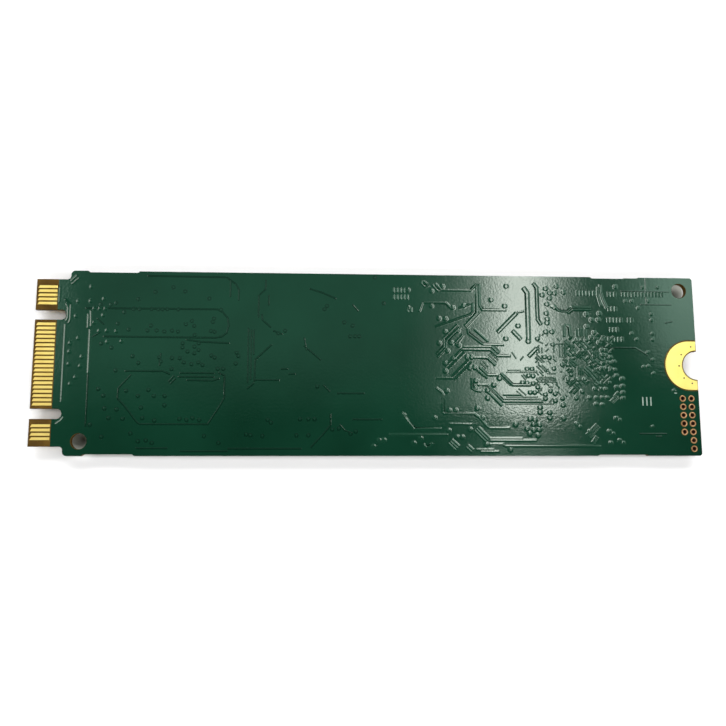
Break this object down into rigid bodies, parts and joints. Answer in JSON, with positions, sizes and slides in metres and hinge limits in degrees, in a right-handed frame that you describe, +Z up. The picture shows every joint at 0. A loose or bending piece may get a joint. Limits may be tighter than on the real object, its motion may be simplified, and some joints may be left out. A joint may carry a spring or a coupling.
{
  "type": "solid state drive",
  "caption": "Bare M.2 solid state drive card: long thin green circuit board with a gold edge connector, two key notches and a half-round screw notch, chips on one face.",
  "frame": {"origin": "centre of the footprint, on the plane that the card rests on under its label", "axes": "+X from the edge connector to the screw notch, +Y across the card towards the B key end, +Z up out of the bare face"},
  "size_m": [0.08, 0.022, 0.0021],
  "materials": {
    "laminate": "bare glass epoxy, routed edges",
    "solder_mask": "semi-gloss green solder mask over etched copper",
    "gold_plating": "satin gold over nickel",
    "copper_plating": "dull copper with clear preservative",
    "mould_compound": "fine matte black moulding compound",
    "ferrite": "matte grey ferrite",
    "crystal_metal": "satin nickel lid",
    "capacitor_ceramic": "satin tan ceramic with tinned ends",
    "capacitor_resin": "matte moulded resin",
    "resistor_body": "glossy dark overcoat with tinned ends",
    "label_paper": "smooth printed label stock"
  },
  "bodies": {
    "root": {"buffer_memory_package": "mould_compound", "bulk_capacitor_1": "capacitor_resin", "bulk_capacitor_2": "capacitor_resin", "bulk_capacitor_3": "capacitor_resin", "ceramic_capacitor_01": "capacitor_ceramic", "ceramic_capacitor_02": "capacitor_ceramic", "ceramic_capacitor_03": "capacitor_ceramic", "ceramic_capacitor_04": "capacitor_ceramic", "ceramic_capacitor_05": "capacitor_ceramic", "ceramic_capacitor_06": "capacitor_ceramic", "ceramic_capacitor_07": "capacitor_ceramic", "ceramic_capacitor_08": "capacitor_ceramic", "ceramic_capacitor_09": "capacitor_ceramic", "ceramic_capacitor_10": "capacitor_ceramic", "ceramic_capacitor_11": "capacitor_ceramic", "ceramic_capacitor_12": "capacitor_ceramic", "ceramic_capacitor_13": "capacitor_ceramic", "ceramic_capacitor_14": "capacitor_ceramic", "ceramic_capacitor_15": "capacitor_ceramic", "ceramic_capacitor_16": "capacitor_ceramic", "chip_resistor_01": "resistor_body", "chip_resistor_02": "resistor_body", "chip_resistor_03": "resistor_body", "chip_resistor_04": "resistor_body", "contacts_bare_b_end": "gold_plating", "contacts_bare_m_end": "gold_plating", "contacts_bare_middle": "gold_plating", "contacts_component_b_end": "gold_plating", "contacts_component_m_end": "gold_plating", "contacts_component_middle": "gold_plating", "controller_package": "mould_compound", "crystal_can": "crystal_metal", "flash_package_1": "mould_compound", "flash_package_2": "mould_compound", "load_switch_chip": "mould_compound", "pcb_laminate": "laminate", "power_inductor_1": "ferrite", "power_inductor_2": "ferrite", "power_inductor_3": "ferrite", "power_management_chip": "mould_compound", "product_label": "label_paper", "screw_pad_bare_side": "gold_plating", "screw_pad_component_side": "gold_plating", "solder_mask_bare_side": "solder_mask", "solder_mask_component_side": "solder_mask", "test_hole_lining_01": "copper_plating", "test_hole_lining_02": "copper_plating", "test_hole_lining_03": "copper_plating", "test_hole_lining_04": "copper_plating", "test_hole_lining_05": "copper_plating", "test_hole_lining_06": "copper_plating", "test_hole_lining_07": "copper_plating", "test_hole_lining_08": "copper_plating", "test_hole_lining_09": "copper_plating", "test_hole_lining_10": "copper_plating", "test_hole_lining_11": "copper_plating", "test_hole_lining_12": "copper_plating"}
  },
  "joints": []
}
